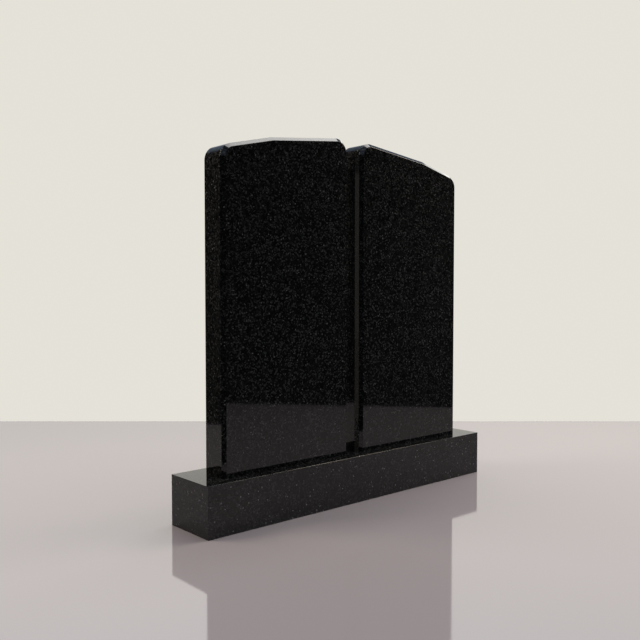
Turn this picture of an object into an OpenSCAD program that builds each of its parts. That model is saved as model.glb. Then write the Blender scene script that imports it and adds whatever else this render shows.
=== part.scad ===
// Double headstone: two upright tablets, side by side on one plinth.
// Millimetres, +Z up. The faces look along -Y, +X is to the right of somebody who
// faces them, and the origin is on the ground under the middle of the plinth.

/* [Tablets] */
// Width of one tablet
tablet_width = 490; // [300:5:700]
// Thickness of a tablet, front to back
tablet_thickness = 100; // [60:2:160]
// Height of a tablet's outer side, up to where it would meet the top line
side_height = 946; // [500:2:1500]
// Bevel along both faces of a tablet, on its sides and top
tablet_bevel = 10.5; // [2:0.5:20]
// Space between the two tablets
tablet_gap = 57; // [10:1:200]

/* [Tablet tops] */
// Distance of the bend in the top line from the outer side
bend_run = 180; // [100:5:220]
// Rise of the top line from the outer side to the bend
bend_rise = 42.5; // [30:0.5:90]
// Rise of the top line from the bend to the inner side
crest_rise = 35.5; // [5:0.5:50]
// Radius of both top corners of a tablet
corner_radius = 45; // [25:1:80]

/* [Plinth] */
// Height of the plinth
plinth_height = 150; // [60:5:300]
// Ledge between the front edge of the plinth and the tablets
front_ledge = 44; // [10:1:150]
// Ledge between the tablets and the back edge of the plinth
back_ledge = 48; // [10:1:150]
// Ledge between an end of the plinth and the tablet beside it
end_ledge = 81.5; // [10:0.5:200]
// Small bevel on the plinth's top and upright edges
plinth_arris = 1; // [0.5:0.5:5]

/* [Hidden] */

// Straight facets along the arc of each round corner
CORNER_STEPS = 24;
POLISHED_BLACK = "#17171a";
HONED_BLACK = "#1d1d20";

plinth_length = 2 * (tablet_width + end_ledge) + tablet_gap;
plinth_depth = front_ledge + tablet_thickness + back_ledge;
plinth_front = -plinth_depth / 2;
tablet_front = plinth_front + front_ledge;
tablet_outer = -plinth_length / 2 + end_ledge;

// Corners of the tablet's top line, before they are rounded: the foot and the head
// of the outer side, the bend, and the head and the foot of the inner side.
OUTER_FOOT = [0, 0];
OUTER_HEAD = [0, side_height];
BEND = [bend_run, side_height + bend_rise];
INNER_HEAD = [tablet_width, side_height + bend_rise + crest_rise];
INNER_FOOT = [tablet_width, 0];

function unit(v) = v / norm(v);

// Direction of the line from a to b, in degrees
function heading(a, b) = atan2(b.y - a.y, b.x - a.x);

// Point that lies a distance inside both of the lines a-p and p-b
function inside(a, p, b, distance) =
    let (
        to_a = unit(a - p),
        to_b = unit(b - p),
        half_angle = acos(to_a * to_b) / 2
    )
    p + unit(to_a + to_b) * distance / sin(half_angle);

// Arc that rounds the corner a-p-b, of a clockwise outline moved in by an inset
function round_corner(a, p, b, inset) =
    let (
        centre = inside(a, p, b, corner_radius),
        start = heading(a, p) + 90,
        turn = heading(p, b) + 90 - start
    )
    [
        for (i = [0:CORNER_STEPS])
            let (angle = start + turn * i / CORNER_STEPS)
            centre + (corner_radius - inset) * [cos(angle), sin(angle)]
    ];

// Face of the left tablet, moved in by an inset along its sides and top
function tablet_outline(inset) = concat(
    [OUTER_FOOT + [inset, 0]],
    round_corner(OUTER_FOOT, OUTER_HEAD, BEND, inset),
    [inside(OUTER_HEAD, BEND, INNER_HEAD, inset)],
    round_corner(BEND, INNER_HEAD, INNER_FOOT, inset),
    [INNER_FOOT - [inset, 0]]
);

// Rectangle with bevelled upper corners, and lower ones too if wanted
function bevelled_rectangle(width, height, bevel, lower_bevel) = [
    [-width / 2 + lower_bevel, 0],
    [-width / 2, lower_bevel],
    [-width / 2, height - bevel],
    [-width / 2 + bevel, height],
    [width / 2 - bevel, height],
    [width / 2, height - bevel],
    [width / 2, lower_bevel],
    [width / 2 - lower_bevel, 0]
];

// Upright layer of the tablet: its outline with an inset, as deep on both sides
module tablet_layer(inset, depth) {
    translate([0, depth / 2, 0])
        rotate([90, 0, 0])
            linear_extrude(depth)
                polygon(tablet_outline(inset));
}

// Full outline in the middle, drawn in to the bevels' inner edge on both faces
module tablet() {
    translate([tablet_outer, tablet_front + tablet_thickness / 2, plinth_height])
        hull() {
            tablet_layer(0, tablet_thickness - 2 * tablet_bevel);
            tablet_layer(tablet_bevel, tablet_thickness);
        }
}

module left_tablet() {
    color(POLISHED_BLACK)
        tablet();
}

module right_tablet() {
    color(POLISHED_BLACK)
        mirror([1, 0, 0])
            tablet();
}

// Block whose upright edges are bevelled in plan and top edges in both profiles
module plinth() {
    color(HONED_BLACK)
        intersection() {
            translate([0, plinth_front, 0])
                linear_extrude(plinth_height)
                    polygon(bevelled_rectangle(plinth_length, plinth_depth, plinth_arris, plinth_arris));
            translate([0, -plinth_front, 0])
                rotate([90, 0, 0])
                    linear_extrude(plinth_depth)
                        polygon(bevelled_rectangle(plinth_length, plinth_height, plinth_arris, 0));
            translate([-plinth_length / 2, 0, 0])
                rotate([90, 0, 90])
                    linear_extrude(plinth_length)
                        polygon(bevelled_rectangle(plinth_depth, plinth_height, plinth_arris, 0));
        }
}

plinth();
left_tablet();
right_tablet();
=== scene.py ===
"""Double headstone of polished black stone: two bevelled tablets side by side on one plinth."""

import logging
import math
from collections.abc import Iterable, Mapping
from dataclasses import dataclass
from enum import Enum
from typing import Union

import bmesh
import bpy
from mathutils import Euler, Matrix, Vector


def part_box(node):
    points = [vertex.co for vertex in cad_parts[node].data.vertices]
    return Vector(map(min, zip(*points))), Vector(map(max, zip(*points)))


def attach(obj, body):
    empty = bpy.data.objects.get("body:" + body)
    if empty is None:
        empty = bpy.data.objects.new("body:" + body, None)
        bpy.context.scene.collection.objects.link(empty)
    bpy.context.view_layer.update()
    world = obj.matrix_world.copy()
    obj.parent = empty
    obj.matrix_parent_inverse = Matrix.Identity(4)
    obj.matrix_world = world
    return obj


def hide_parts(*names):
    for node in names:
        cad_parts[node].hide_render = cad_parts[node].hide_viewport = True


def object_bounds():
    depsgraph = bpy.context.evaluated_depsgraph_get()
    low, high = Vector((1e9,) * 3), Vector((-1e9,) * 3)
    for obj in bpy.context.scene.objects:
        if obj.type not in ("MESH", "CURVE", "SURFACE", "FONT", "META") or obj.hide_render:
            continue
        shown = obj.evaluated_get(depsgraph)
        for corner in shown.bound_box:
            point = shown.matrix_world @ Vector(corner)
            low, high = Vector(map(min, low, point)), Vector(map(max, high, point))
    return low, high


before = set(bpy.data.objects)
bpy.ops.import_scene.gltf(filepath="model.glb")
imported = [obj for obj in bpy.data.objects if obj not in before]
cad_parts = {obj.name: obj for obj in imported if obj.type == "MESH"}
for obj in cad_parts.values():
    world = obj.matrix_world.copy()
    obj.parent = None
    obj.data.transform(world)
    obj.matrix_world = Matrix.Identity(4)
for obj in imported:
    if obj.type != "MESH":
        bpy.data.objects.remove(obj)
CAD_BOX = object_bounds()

log = logging.getLogger("headstone")

ROOT_BODY = "root"

# Faces that meet at more than the first angle keep a crisp edge, and past the second their edge is eased.
CRISP_ANGLE = math.radians(5.0)
EASED_ANGLE = math.radians(20.0)

Colour = tuple[float, float, float, float]
Span = tuple[float, float]
Term = Union[float, "Field"]
SocketKey = Union[str, int]


class Side(Enum):
    """Which side of the middle a tablet stands on, as the direction from the middle to it."""

    LEFT = -1.0
    RIGHT = 1.0


class Slot(Enum):
    """Finish slots of the record."""

    PLINTH = "plinth_polish"
    TABLET = "tablet_polish"


def grey(level: float, warmth: float = 0.0) -> Colour:
    """A grey of that linear level, warmer or cooler by a share of it."""
    return (level * (1.0 + warmth), level, level * (1.0 - warmth), 1.0)


class Field:
    """A value that changes over a surface: one output of a node, with arithmetic that adds Math nodes."""

    def __init__(self, graph: "Graph", node: bpy.types.Node, output: SocketKey = 0) -> None:
        """Wrap one output of a node.

        Args:
            graph: the tree that the node is in.
            node: the node.
            output: the output's name, or its place among those in use.
        """
        self.graph = graph
        self.node = node
        self.output = output

    @property
    def socket(self) -> bpy.types.NodeSocket:
        """The output socket itself."""
        return Graph.find(self.node.outputs, self.output)

    def out(self, name: str) -> "Field":
        """Another output of the same node."""
        return Field(self.graph, self.node, name)

    def maths(self, operation: str, *others: Term) -> "Field":
        """A Math node of that operation, with this value first."""
        return self.graph.maths(operation, self, *others)

    def sway(self, share: float) -> "Field":
        """A factor round 1, which this value from 0 to 1 moves down or up by half the share."""
        return (1.0 - share / 2.0) + share * self

    def __add__(self, other: Term) -> "Field":
        """self + other"""
        return self.graph.maths("ADD", self, other)

    def __radd__(self, other: Term) -> "Field":
        """other + self"""
        return self.graph.maths("ADD", other, self)

    def __sub__(self, other: Term) -> "Field":
        """self - other"""
        return self.graph.maths("SUBTRACT", self, other)

    def __rsub__(self, other: Term) -> "Field":
        """other - self"""
        return self.graph.maths("SUBTRACT", other, self)

    def __mul__(self, other: Term) -> "Field":
        """self * other"""
        return self.graph.maths("MULTIPLY", self, other)

    def __rmul__(self, other: Term) -> "Field":
        """other * self"""
        return self.graph.maths("MULTIPLY", other, self)

    def __truediv__(self, other: Term) -> "Field":
        """self / other"""
        return self.graph.maths("DIVIDE", self, other)

    def __rtruediv__(self, other: Term) -> "Field":
        """other / self"""
        return self.graph.maths("DIVIDE", other, self)

    def __pow__(self, other: Term) -> "Field":
        """self to the power of other"""
        return self.graph.maths("POWER", self, other)

    def __rpow__(self, other: Term) -> "Field":
        """other to the power of self"""
        return self.graph.maths("POWER", other, self)

    def __lt__(self, other: Term) -> "Field":
        """1 where self is below other, else 0"""
        return self.graph.maths("LESS_THAN", self, other)

    def __gt__(self, other: Term) -> "Field":
        """1 where self is above other, else 0"""
        return self.graph.maths("GREATER_THAN", self, other)


class Graph:
    """A node tree, with one way of adding nodes to it."""

    def __init__(self, tree: bpy.types.NodeTree) -> None:
        """Take over a tree and empty it."""
        self.tree = tree
        tree.nodes.clear()

    @staticmethod
    def find(sockets: Iterable[bpy.types.NodeSocket], key: SocketKey) -> bpy.types.NodeSocket:
        """Find a socket among those in use.

        Args:
            sockets: a node's inputs or outputs.
            key: the socket's name, or its place among those in use.

        Returns:
            The socket.
        """
        in_use = [socket for socket in sockets if socket.enabled]
        if isinstance(key, int):
            return in_use[key]
        return next(socket for socket in in_use if socket.name == key)

    def add(
        self,
        kind: str,
        settings: Mapping[str, object] | None = None,
        sockets: Mapping[SocketKey, object] | None = None,
    ) -> Field:
        """Add a node.

        Args:
            kind: the node's type.
            settings: its own settings, such as a Math node's operation, set first.
            sockets: a value, a field or a list of fields for each input, by name or place.

        Returns:
            The node's first output.
        """
        node = self.tree.nodes.new(kind)
        node.location.x = 180.0 * len(self.tree.nodes)
        for name, value in (settings or {}).items():
            setattr(node, name, value)
        for key, value in (sockets or {}).items():
            socket = self.find(node.inputs, key)
            if isinstance(value, Field):
                self.tree.links.new(value.socket, socket)
            elif isinstance(value, list):
                for field in value:
                    self.tree.links.new(field.socket, socket)
            else:
                socket.default_value = value
        return Field(self, node)

    def maths(self, operation: str, *terms: Term) -> Field:
        """A Math node of that operation on the terms."""
        return self.add("ShaderNodeMath", {"operation": operation}, dict(enumerate(terms)))

    def choose(self, condition: Field, chosen: Term, other: Term) -> Field:
        """In a geometry tree, one number where the condition holds and the other one elsewhere."""
        sockets = {"Switch": condition, "False": other, "True": chosen}
        return self.add("GeometryNodeSwitch", {"input_type": "FLOAT"}, sockets)

    def smooth_step(self, value: Field, low: float, high: float) -> Field:
        """0 below low, 1 above high, and an even ease between them."""
        settings = {"interpolation_type": "SMOOTHSTEP"}
        return self.add("ShaderNodeMapRange", settings, {"Value": value, "From Min": low, "From Max": high})

    def blend(self, share: Field, first: object, second: object) -> Field:
        """Mix two colours, each a value or a field, by a share from 0 to 1."""
        sockets = {"Factor": share, "A": first, "B": second}
        return self.add("ShaderNodeMix", {"data_type": "RGBA"}, sockets)

    def noise(self, place: Field, scale: float, detail: float) -> Field:
        """Cloudy noise from 0 to 1, with about that many clouds to a metre."""
        sockets = {"Vector": place, "Scale": scale, "Detail": detail}
        return self.add("ShaderNodeTexNoise", {}, sockets).out("Fac")

    def cells(self, place: Field, size: float) -> Field:
        """Cells of about that size, packed with no gaps."""
        return self.add("ShaderNodeTexVoronoi", {"feature": "F1"}, {"Vector": place, "Scale": 1.0 / size})


def start_material(name: str) -> tuple[bpy.types.Material, Graph, Field]:
    """Start a material.

    Args:
        name: the material's name.

    Returns:
        The material, its nodes, and the place on a piece, in the piece's own coordinates.
    """
    material = bpy.data.materials.new(name)
    material.use_nodes = True
    graph = Graph(material.node_tree)
    return material, graph, graph.add("ShaderNodeTexCoord").out("Object")


@dataclass(frozen=True)
class SawnFace:
    """Matt, powdery finish of a face that was sawn and never polished."""

    below: float = 0.0002
    dark: Colour = grey(0.05)
    pale: Colour = grey(0.09)
    mark_scale: float = 420.0
    added_roughness: float = 0.6

    def lay(self, graph: Graph, place: Field, colour: Field, rough: Field) -> tuple[Field, Field]:
        """Lay this finish over another one, on the part of a piece that is low enough.

        Args:
            graph: the material's nodes.
            place: the piece's own coordinates.
            colour: the other finish's colour.
            rough: the other finish's roughness.

        Returns:
            The colour and the roughness, with the sawn part in them.
        """
        powdery = graph.blend(graph.noise(place, self.mark_scale, 4.0), self.dark, self.pale)
        sawn = graph.add("ShaderNodeSeparateXYZ", {}, {"Vector": place}).out("Z") < self.below
        return graph.blend(sawn, colour, powdery), rough + sawn * self.added_roughness


@dataclass(frozen=True)
class PolishedStone:
    """Black stone of interlocking fine crystals, ground flat and polished to a mirror.

    Lengths are in metres, colours are linear, and a share is a part of all crystals. The glints are rare,
    paler crystals. glint_fade says how far from a glint's middle it is gone and how near it is full, as
    parts of glint_size.
    """

    name: str
    dark: Colour
    pale: Colour
    contrast: float = 30.0
    crystal_size: float = 0.0042
    border_wander: float = 1.1
    border_detail: float = 0.6
    patch_scale: float = 26.0
    patch_sway: float = 0.3
    glint: Colour = (0.185, 0.19, 0.20, 1.0)
    glint_size: float = 0.0068
    glint_fade: Span = (0.42, 0.18)
    glint_share: float = 0.09
    glint_ease: float = 0.02
    faintest_glint: float = 0.2
    glint_roughness: float = 0.05
    roughness: float = 0.045
    polish_sway: float = 0.4
    relief: float = 0.000012
    relief_strength: float = 0.35
    crystal_relief: float = 0.5
    index: float = 1.58
    sawn_face: SawnFace | None = None

    def make(self) -> bpy.types.Material:
        """Build the material.

        Returns:
            A material whose pattern is fixed to the piece's own coordinates.
        """
        material, graph, place = start_material(self.name)
        wandering = self._wander(graph, place)
        crystals = graph.cells(wandering, self.crystal_size)
        chance = graph.add("ShaderNodeSeparateColor", {}, {"Color": crystals.out("Color")})
        tone, shine = chance.out("Red"), chance.out("Blue")

        # Paler crystals are rarer, and gather here and there.
        patches = graph.noise(place, self.patch_scale, 3.0)
        paleness = (self.contrast ** (tone * patches.sway(self.patch_sway)) - 1.0) / (self.contrast - 1.0)
        sparkle = self._sparkle(graph, wandering)
        colour = graph.blend(sparkle, graph.blend(paleness, self.dark, self.pale), self.glint)
        rough = self.roughness * shine.sway(self.polish_sway) + self.glint_roughness * sparkle
        if self.sawn_face is not None:
            colour, rough = self.sawn_face.lay(graph, place, colour, rough)

        height = (tone - 0.5) * self.crystal_relief + (patches - 0.5)
        waves = {"Strength": self.relief_strength, "Distance": self.relief, "Height": height}
        bump = graph.add("ShaderNodeBump", {}, waves).out("Normal")
        finish = {"Base Color": colour, "Roughness": rough, "IOR": self.index, "Normal": bump}
        surface = graph.add("ShaderNodeBsdfPrincipled", {}, finish)
        graph.add("ShaderNodeOutputMaterial", {}, {"Surface": surface})
        material.diffuse_color = self.pale
        return material

    def _sparkle(self, graph: Graph, wandering: Field) -> Field:
        """Scatter the glints.

        Args:
            graph: the material's nodes.
            wandering: the bent coordinates.

        Returns:
            How strong a glint is at each place, from 0 to 1.
        """
        flecks = graph.cells(wandering, self.glint_size)
        luck = graph.add("ShaderNodeSeparateColor", {}, {"Color": flecks.out("Color")})
        small = graph.smooth_step(flecks.out("Distance"), *self.glint_fade)
        rarity = 1.0 - self.glint_share
        lucky = graph.smooth_step(luck.out("Red"), rarity, rarity + self.glint_ease)
        return small * lucky * (self.faintest_glint + (1.0 - self.faintest_glint) * luck.out("Green"))

    def _wander(self, graph: Graph, place: Field) -> Field:
        """Bend the coordinates a little, so that the crystals' borders aren't plain straight cuts.

        Args:
            graph: the material's nodes.
            place: the piece's own coordinates.

        Returns:
            The bent coordinates.
        """
        drift = graph.noise(place, self.border_detail / self.crystal_size, 2.0).out("Color")
        centred = graph.add("ShaderNodeVectorMath", {"operation": "SUBTRACT"}, {0: drift, 1: (0.5, 0.5, 0.5)})
        reach = {0: centred, "Scale": self.border_wander * self.crystal_size}
        shift = graph.add("ShaderNodeVectorMath", {"operation": "SCALE"}, reach)
        return graph.add("ShaderNodeVectorMath", {"operation": "ADD"}, {0: place, 1: shift})


@dataclass(frozen=True)
class PaleFloor:
    """Smooth pale floor paint with a soft shine."""

    name: str = "pale_floor"
    paint: Colour = (0.425, 0.390, 0.424, 1.0)
    roughness: float = 0.05
    cloudiness: float = 0.01
    cloud_scale: float = 1.5
    index: float = 2.6

    def make(self) -> bpy.types.Material:
        """Build the material.

        Returns:
            The floor's material.
        """
        material, graph, place = start_material(self.name)
        rough = self.roughness + self.cloudiness * graph.noise(place, self.cloud_scale, 2.0)
        finish = {"Base Color": self.paint, "Roughness": rough, "IOR": self.index}
        surface = graph.add("ShaderNodeBsdfPrincipled", {}, finish)
        graph.add("ShaderNodeOutputMaterial", {}, {"Surface": surface})
        return material


def mesh_object(name: str, mesh: bpy.types.Mesh) -> bpy.types.Object:
    """Put a mesh into the scene.

    Args:
        name: the object's name.
        mesh: its mesh, in the frame's coordinates.

    Returns:
        The object, at the origin.
    """
    piece = bpy.data.objects.new(name, mesh)
    bpy.context.scene.collection.objects.link(piece)
    return piece


def mesh_from_tree(
    name: str, tree: bpy.types.GeometryNodeTree, values: Mapping[str, object]
) -> bpy.types.Mesh:
    """Run a geometry tree and keep its result as a plain mesh.

    Args:
        name: the mesh's name.
        tree: the geometry tree.
        values: a value for each of the tree's named inputs.

    Returns:
        The finished mesh, with no modifier behind it.
    """
    carrier = mesh_object(f"{name}_carrier", bpy.data.meshes.new(f"{name}_carrier"))
    modifier = carrier.modifiers.new("grow", "NODES")
    modifier.node_group = tree
    for item in tree.interface.items_tree:
        if item.item_type == "SOCKET" and item.in_out == "INPUT":
            modifier[item.identifier] = values[item.name]
    bpy.context.view_layer.update()
    depsgraph = bpy.context.evaluated_depsgraph_get()
    mesh = bpy.data.meshes.new_from_object(carrier.evaluated_get(depsgraph))
    mesh.name = name
    carrier.modifiers.remove(modifier)
    blank = carrier.data
    bpy.data.objects.remove(carrier)
    bpy.data.meshes.remove(blank)
    return mesh


def ease_edges(piece: bpy.types.Object, width: float) -> None:
    """Round a piece's sharp edges a little and keep its flats truly flat.

    Args:
        piece: the piece, with smooth faces.
        width: the width of the rounding, in metres.
    """
    arris = piece.modifiers.new("arris", "BEVEL")
    arris.width = width
    arris.segments = 3
    arris.limit_method = "ANGLE"
    arris.angle_limit = EASED_ANGLE
    flats = piece.modifiers.new("flats", "WEIGHTED_NORMAL")
    flats.keep_sharp = True


@dataclass
class Tablet:
    """One upright tablet: a slab with a bent, rising top, round corners and bevelled faces."""

    node: str
    side: Side
    stone: bpy.types.Material
    bevel: float = 0.0105
    bend_run: float = 0.180
    bend_rise: float = 0.0425
    crest_rise: float = 0.0355
    corner_radius: float = 0.045
    corner_steps: int = 48
    arris: float = 0.0005

    def build(self) -> bpy.types.Object:
        """Make the tablet where its CAD solid stands, and dress it.

        Returns:
            The finished piece.
        """
        low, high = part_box(self.node)
        size = high - low
        mesh = mesh_from_tree(f"{self.node}_polished", self._slab_tree(), self._slab_sizes(size))
        self._put_in_place(mesh, low, high)
        piece = mesh_object(f"{self.node}_polished", mesh)
        ease_edges(piece, self.arris)
        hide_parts(self.node)
        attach(piece, ROOT_BODY)
        return piece

    def _slab_sizes(self, size: Vector) -> dict[str, object]:
        """Values for the slab tree's inputs.

        Args:
            size: the tablet's width, thickness and full height.

        Returns:
            A value for each named input.
        """
        main_slope = self.crest_rise / (size.x - self.bend_run)
        flat_run = size.x - self.corner_radius - self.bend_run
        corner_loss = self.corner_radius * (math.hypot(1.0, main_slope) - 1.0)
        side_height = size.z - self.bend_rise - main_slope * flat_run + corner_loss
        return {
            "Width": size.x,
            "Thickness": size.y,
            "Side height": side_height,
            "Bend run": self.bend_run,
            "Bend rise": self.bend_rise,
            "Crest rise": self.crest_rise,
            "Corner radius": self.corner_radius,
            "Bevel": self.bevel,
            "Corner steps": self.corner_steps,
            "Stone": self.stone,
        }

    def _slab_tree(self) -> bpy.types.GeometryNodeTree:
        """Build the tree that carries the bevelled section along the outline and closes both faces.

        Returns:
            The geometry tree.
        """
        tree = bpy.data.node_groups.new(f"{self.node}_slab", "GeometryNodeTree")
        lengths = (
            "Width", "Thickness", "Side height", "Bend run", "Bend rise", "Crest rise", "Corner radius",
            "Bevel",
        )
        for name in lengths:
            tree.interface.new_socket(name, in_out="INPUT", socket_type="NodeSocketFloat")
        tree.interface.new_socket("Corner steps", in_out="INPUT", socket_type="NodeSocketInt")
        tree.interface.new_socket("Stone", in_out="INPUT", socket_type="NodeSocketMaterial")
        tree.interface.new_socket("Slab", in_out="OUTPUT", socket_type="NodeSocketGeometry")
        graph = Graph(tree)
        given = graph.add("NodeGroupInput")
        thickness, bevel = given.out("Thickness"), given.out("Bevel")
        # Both feet, the bend, and for each corner one point more than it has steps.
        points = 2.0 * given.out("Corner steps") + 5.0
        index = graph.add("GeometryNodeInputIndex")

        # Rim: rings round the outline, of which the first and the last are moved in by the bevel.
        rings = 4
        middle = (rings - 1) / 2.0
        sheet = {"Vertices X": points + 1.0, "Vertices Y": rings}
        grid = graph.add("GeometryNodeMeshGrid", {}, sheet).out("Mesh")
        ring = index.maths("FLOORED_MODULO", float(rings))
        step = (index / float(rings)).maths("FLOOR").maths("FLOORED_MODULO", points)
        is_outer = (ring - middle).maths("ABSOLUTE") > 1.0
        depth = (thickness / 2.0 - bevel * (1.0 - is_outer)) * ((ring > middle) * 2.0 - 1.0)
        position = self._outline_point(graph, given, step, bevel * is_outer, depth)
        rim = graph.add("GeometryNodeSetPosition", {}, {"Geometry": grid, "Position": position})

        # Faces: the same outline, moved in by the bevel, filled.
        faces = []
        for direction in (-1.0, 1.0):
            disc = graph.add("GeometryNodeMeshCircle", {"fill_type": "NGON"}, {"Vertices": points})
            position = self._outline_point(graph, given, index, bevel, thickness * (direction / 2.0))
            faces.append(graph.add("GeometryNodeSetPosition", {}, {"Geometry": disc, "Position": position}))

        joined = graph.add("GeometryNodeJoinGeometry", {}, {"Geometry": [rim, *faces]})
        closed = graph.add("GeometryNodeMergeByDistance", {}, {"Geometry": joined, "Distance": 1e-5})
        smooth = graph.add("GeometryNodeSetShadeSmooth", {}, {"Geometry": closed})
        real = graph.add("GeometryNodeRealizeInstances", {}, {"Geometry": smooth})
        dressed = graph.add("GeometryNodeSetMaterial", {}, {"Geometry": real, "Material": given.out("Stone")})
        graph.add("NodeGroupOutput", {}, {"Slab": dressed})
        return tree

    @staticmethod
    def _outline_point(graph: Graph, given: Field, step: Field, inset: Term, depth: Term) -> Field:
        """Where a point of the outline is.

        The points run up the outer side, round its corner, over the bend, round the inner corner and down.

        Args:
            graph: the tree that is being built.
            given: the tree's inputs.
            step: the point's number along the outline.
            inset: how far the outline is moved in, along its sides and top.
            depth: the point's place through the thickness.

        Returns:
            The position, from the foot of the outer side.
        """
        width, height, radius = given.out("Width"), given.out("Side height"), given.out("Corner radius")
        run, rise, steps = given.out("Bend run"), given.out("Bend rise"), given.out("Corner steps")
        outer_slope = rise / run
        main_slope = given.out("Crest rise") / (width - run)
        outer_drop = (1.0 + outer_slope * outer_slope).maths("SQRT")
        main_drop = (1.0 + main_slope * main_slope).maths("SQRT")
        arc = radius - inset

        outer_centre = height + radius * (outer_slope - outer_drop)
        outer_turn = (math.pi / 2.0) - outer_slope.maths("ARCTANGENT")
        outer_angle = math.pi - outer_turn * ((step - 1.0) / steps)
        inner_centre = height + rise + main_slope * (width - radius - run) - radius * main_drop
        inner_turn = (math.pi / 2.0) + main_slope.maths("ARCTANGENT")
        inner_angle = inner_turn * (1.0 - (step - 3.0 - steps) / steps)
        bend = run + (outer_drop - main_drop) / (outer_slope - main_slope) * inset
        bend_height = height + outer_slope * bend - outer_drop * inset

        # Each stretch ends half a point past its last one. After them comes the foot of the inner side.
        stretches = (
            (0.5, inset, 0.0),
            (
                steps + 1.5,
                radius + arc * outer_angle.maths("COSINE"),
                outer_centre + arc * outer_angle.maths("SINE"),
            ),
            (steps + 2.5, bend, bend_height),
            (
                2.0 * steps + 3.5,
                width - radius + arc * inner_angle.maths("COSINE"),
                inner_centre + arc * inner_angle.maths("SINE"),
            ),
        )
        across, up = width - inset, 0.0
        for last, stretch_across, stretch_up in reversed(stretches):
            inside = step < last
            across = graph.choose(inside, stretch_across, across)
            up = graph.choose(inside, stretch_up, up)
        return graph.add("ShaderNodeCombineXYZ", {}, {"X": across, "Y": depth, "Z": up})

    def _put_in_place(self, mesh: bpy.types.Mesh, low: Vector, high: Vector) -> None:
        """Move the slab to its CAD box, mirrored on the right, with its faces outwards and its bend crisp.

        Args:
            mesh: the slab, from the foot of its outer side.
            low: the lowest corner of its CAD box.
            high: the highest corner of its CAD box.
        """
        outer = low.x if self.side is Side.LEFT else high.x
        move = Matrix.Translation((outer, (low.y + high.y) / 2.0, low.z))
        mirror = Matrix.Diagonal((-self.side.value, 1.0, 1.0, 1.0))
        shell = bmesh.new()
        shell.from_mesh(mesh)
        bmesh.ops.transform(shell, matrix=move @ mirror, verts=shell.verts)
        bmesh.ops.recalc_face_normals(shell, faces=shell.faces)
        for edge in shell.edges:
            edge.smooth = not CRISP_ANGLE < edge.calc_face_angle(0.0) < EASED_ANGLE
        shell.to_mesh(mesh)
        shell.free()


@dataclass
class Plinth:
    """The long low block under both tablets."""

    node: str
    stone: bpy.types.Material
    arris: float = 0.0009

    def build(self) -> bpy.types.Object:
        """Make the plinth where its CAD solid lies, and dress it.

        Returns:
            The finished piece.
        """
        low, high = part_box(self.node)
        mesh = bpy.data.meshes.new(f"{self.node}_polished")
        block = bmesh.new()
        courses = [self._course(block, low, high, level) for level in (low.z, high.z)]
        block.faces.new(reversed(courses[0]))
        block.faces.new(courses[1])
        for here in range(4):
            there = (here + 1) % 4
            block.faces.new((courses[0][here], courses[0][there], courses[1][there], courses[1][here]))
        bmesh.ops.recalc_face_normals(block, faces=block.faces)
        for face in block.faces:
            face.smooth = True
        block.to_mesh(mesh)
        block.free()
        mesh.materials.append(self.stone)
        piece = mesh_object(f"{self.node}_polished", mesh)
        ease_edges(piece, self.arris)
        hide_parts(self.node)
        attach(piece, ROOT_BODY)
        return piece

    @staticmethod
    def _course(
        block: bmesh.types.BMesh, low: Vector, high: Vector, level: float
    ) -> list[bmesh.types.BMVert]:
        """The four corners of the block at one level, in order round it."""
        plan = ((low.x, low.y), (high.x, low.y), (high.x, high.y), (low.x, high.y))
        return [block.verts.new((across, deep, level)) for across, deep in plan]


def heading_vector(heading: float, rise: float) -> Vector:
    """Unit vector of a heading from +X toward +Y and a rise above the horizon, both in degrees."""
    flat, up = math.radians(heading), math.radians(rise)
    return Vector((math.cos(flat) * math.cos(up), math.sin(flat) * math.cos(up), math.sin(up)))


@dataclass(frozen=True)
class Softbox:
    """A large soft lamp that looks at the middle of the stone.

    Its brightness is that of its surface, in linear units, so that it can be judged by its mirror image.
    """

    name: str
    heading: float
    rise: float
    distance: float
    width: float
    height: float
    brightness: float
    tint: tuple[float, float, float]

    def hang(self, aim: Vector) -> bpy.types.Object:
        """Hang the lamp.

        Args:
            aim: the point that it looks at.

        Returns:
            The lamp's object.
        """
        lamp = bpy.data.lights.new(self.name, "AREA")
        lamp.shape = "RECTANGLE"
        lamp.size = self.width
        lamp.size_y = self.height
        lamp.energy = self.brightness * math.pi * self.width * self.height
        lamp.color = self.tint
        holder = bpy.data.objects.new(self.name, lamp)
        toward = heading_vector(self.heading, self.rise)
        holder.location = aim + toward * self.distance
        holder.rotation_euler = (-toward).to_track_quat("-Z", "Y").to_euler()
        bpy.context.scene.collection.objects.link(holder)
        return holder


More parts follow.
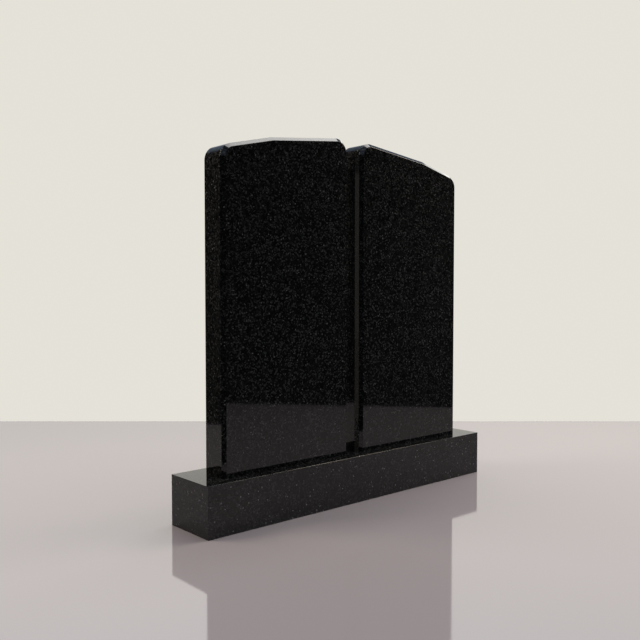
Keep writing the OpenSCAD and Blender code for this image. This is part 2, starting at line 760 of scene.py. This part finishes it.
@dataclass(frozen=True)
class Studio:
    """Pale floor, soft lamps, plain backdrop and the camera.

    The dome and its shade ease in over spans of a unit direction: dome_rise is how far it points up,
    shade_to_left how far to the right, and shade_to_back how far backward.
    """

    eye: tuple[float, float, float] = (-1.750, -1.859, 0.6935)
    heading: float = 48.52
    pitch: float = 2.39
    lens: float = 43.3
    sensor_width: float = 36.0
    sight: Span = (0.05, 60.0)
    floor_near: float = 1.17
    floor_far: float = 1.43
    floor_half_width: float = 2.02
    backdrop: Colour = (0.78, 0.755, 0.69, 1.0)
    gloom: Colour = (0.010, 0.010, 0.010, 1.0)
    dome: Colour = (0.20, 0.25, 0.33, 1.0)
    dome_rise: Span = (0.22, 0.55)
    shade_to_left: Span = (-0.06, -0.28)
    shade_to_back: Span = (-0.5, -0.2)
    softboxes: tuple[Softbox, ...] = (
        Softbox(
            "key_softbox", heading=0.0, rise=78.6, distance=4.6,
            width=2.0, height=3.9, brightness=4.2, tint=(1.0, 0.97, 0.92),
        ),
        Softbox(
            "front_softbox", heading=-25.0, rise=38.0, distance=2.6,
            width=1.7, height=1.1, brightness=7.5, tint=(1.0, 0.87, 0.70),
        ),
        Softbox(
            "left_softbox", heading=150.0, rise=38.0, distance=2.6,
            width=1.1, height=1.2, brightness=9.0, tint=(1.0, 0.88, 0.72),
        ),
        Softbox(
            "rim_softbox", heading=18.0, rise=31.0, distance=4.5,
            width=2.0, height=0.7, brightness=2.2, tint=(1.0, 0.98, 0.9),
        ),
        Softbox(
            "back_panel", heading=48.5, rise=15.0, distance=4.6,
            width=7.6, height=3.2, brightness=0.78, tint=(1.0, 0.97, 0.88),
        ),
        Softbox(
            "strip_softbox", heading=46.5, rise=0.0, distance=4.4,
            width=0.6, height=2.3, brightness=2.4, tint=(1.0, 0.93, 0.80),
        ),
    )

    def set_up(self) -> None:
        """Lay the floor, hang the lamps, light the backdrop and place the camera."""
        low, high = CAD_BOX
        middle = (low + high) / 2.0
        self._lay_floor(low.z)
        for softbox in self.softboxes:
            softbox.hang(middle)
        self._light_world()
        self._place_camera()

    def _lay_floor(self, level: float) -> None:
        """Lay the floor, square to the camera.

        Args:
            level: the height of the ground.
        """
        ahead = heading_vector(self.heading, 0.0)
        aside = heading_vector(self.heading - 90.0, 0.0)
        corners = (
            -ahead * self.floor_near - aside * self.floor_half_width,
            -ahead * self.floor_near + aside * self.floor_half_width,
            ahead * self.floor_far + aside * self.floor_half_width,
            ahead * self.floor_far - aside * self.floor_half_width,
        )
        mesh = bpy.data.meshes.new("floor")
        mesh.from_pydata([(*corner.xy, level) for corner in corners], [], [(0, 1, 2, 3)])
        mesh.materials.append(PaleFloor().make())
        mesh_object("floor", mesh)

    def _light_world(self) -> None:
        """Show a plain pale backdrop, and light the stone from a dim dome, dark low down and on the left."""
        world = bpy.data.worlds.new("studio")
        world.use_nodes = True
        graph = Graph(world.node_tree)
        toward = graph.add("ShaderNodeTexCoord").out("Generated")
        parts = graph.add("ShaderNodeSeparateXYZ", {}, {"Vector": toward})
        high = graph.smooth_step(parts.out("Z"), *self.dome_rise)
        left = graph.smooth_step(parts.out("X"), *self.shade_to_left)
        shaded = left * graph.smooth_step(parts.out("Y"), *self.shade_to_back)
        room_light = graph.blend(high * (1.0 - shaded), self.gloom, self.dome)
        room = graph.add("ShaderNodeBackground", {}, {"Color": room_light})
        backdrop = graph.add("ShaderNodeBackground", {}, {"Color": self.backdrop})
        seen = graph.add("ShaderNodeLightPath").out("Is Camera Ray")
        mixed = graph.add("ShaderNodeMixShader", {}, {0: seen, 1: room, 2: backdrop})
        graph.add("ShaderNodeOutputWorld", {}, {"Surface": mixed})
        bpy.context.scene.world = world

    def _place_camera(self) -> None:
        """Place the camera and make it the scene's own."""
        data = bpy.data.cameras.new("camera")
        data.lens = self.lens
        data.sensor_width = self.sensor_width
        data.clip_start, data.clip_end = self.sight
        camera = bpy.data.objects.new("camera", data)
        camera.location = self.eye
        turn = (math.radians(90.0 - self.pitch), 0.0, math.radians(self.heading - 90.0))
        camera.rotation_euler = Euler(turn)
        bpy.context.scene.collection.objects.link(camera)
        bpy.context.scene.camera = camera


def main() -> None:
    """Build the headstone, piece by piece, then the studio round it."""
    logging.basicConfig(level=logging.INFO, format="%(name)s: %(message)s")
    bpy.context.scene.view_settings.view_transform = "Standard"
    dark = grey(0.0012, -0.05)
    tablet_stone = PolishedStone("polished_black_tablet", dark, grey(0.041, -0.05)).make()
    plinth_stone = PolishedStone(
        "polished_black_plinth", dark, grey(0.038, -0.05), sawn_face=SawnFace()
    ).make()
    plans = (
        Plinth("plinth", plinth_stone),
        Tablet("left_tablet", Side.LEFT, tablet_stone),
        Tablet("right_tablet", Side.RIGHT, tablet_stone),
    )
    for plan in plans:
        piece = plan.build()
        faces = len(piece.data.polygons)
        log.info("%s stands for %s, with %d faces before its edges are eased", piece.name, plan.node, faces)
    Studio().set_up()
    log.info("studio set up")


if __name__ == "__main__":
    main()
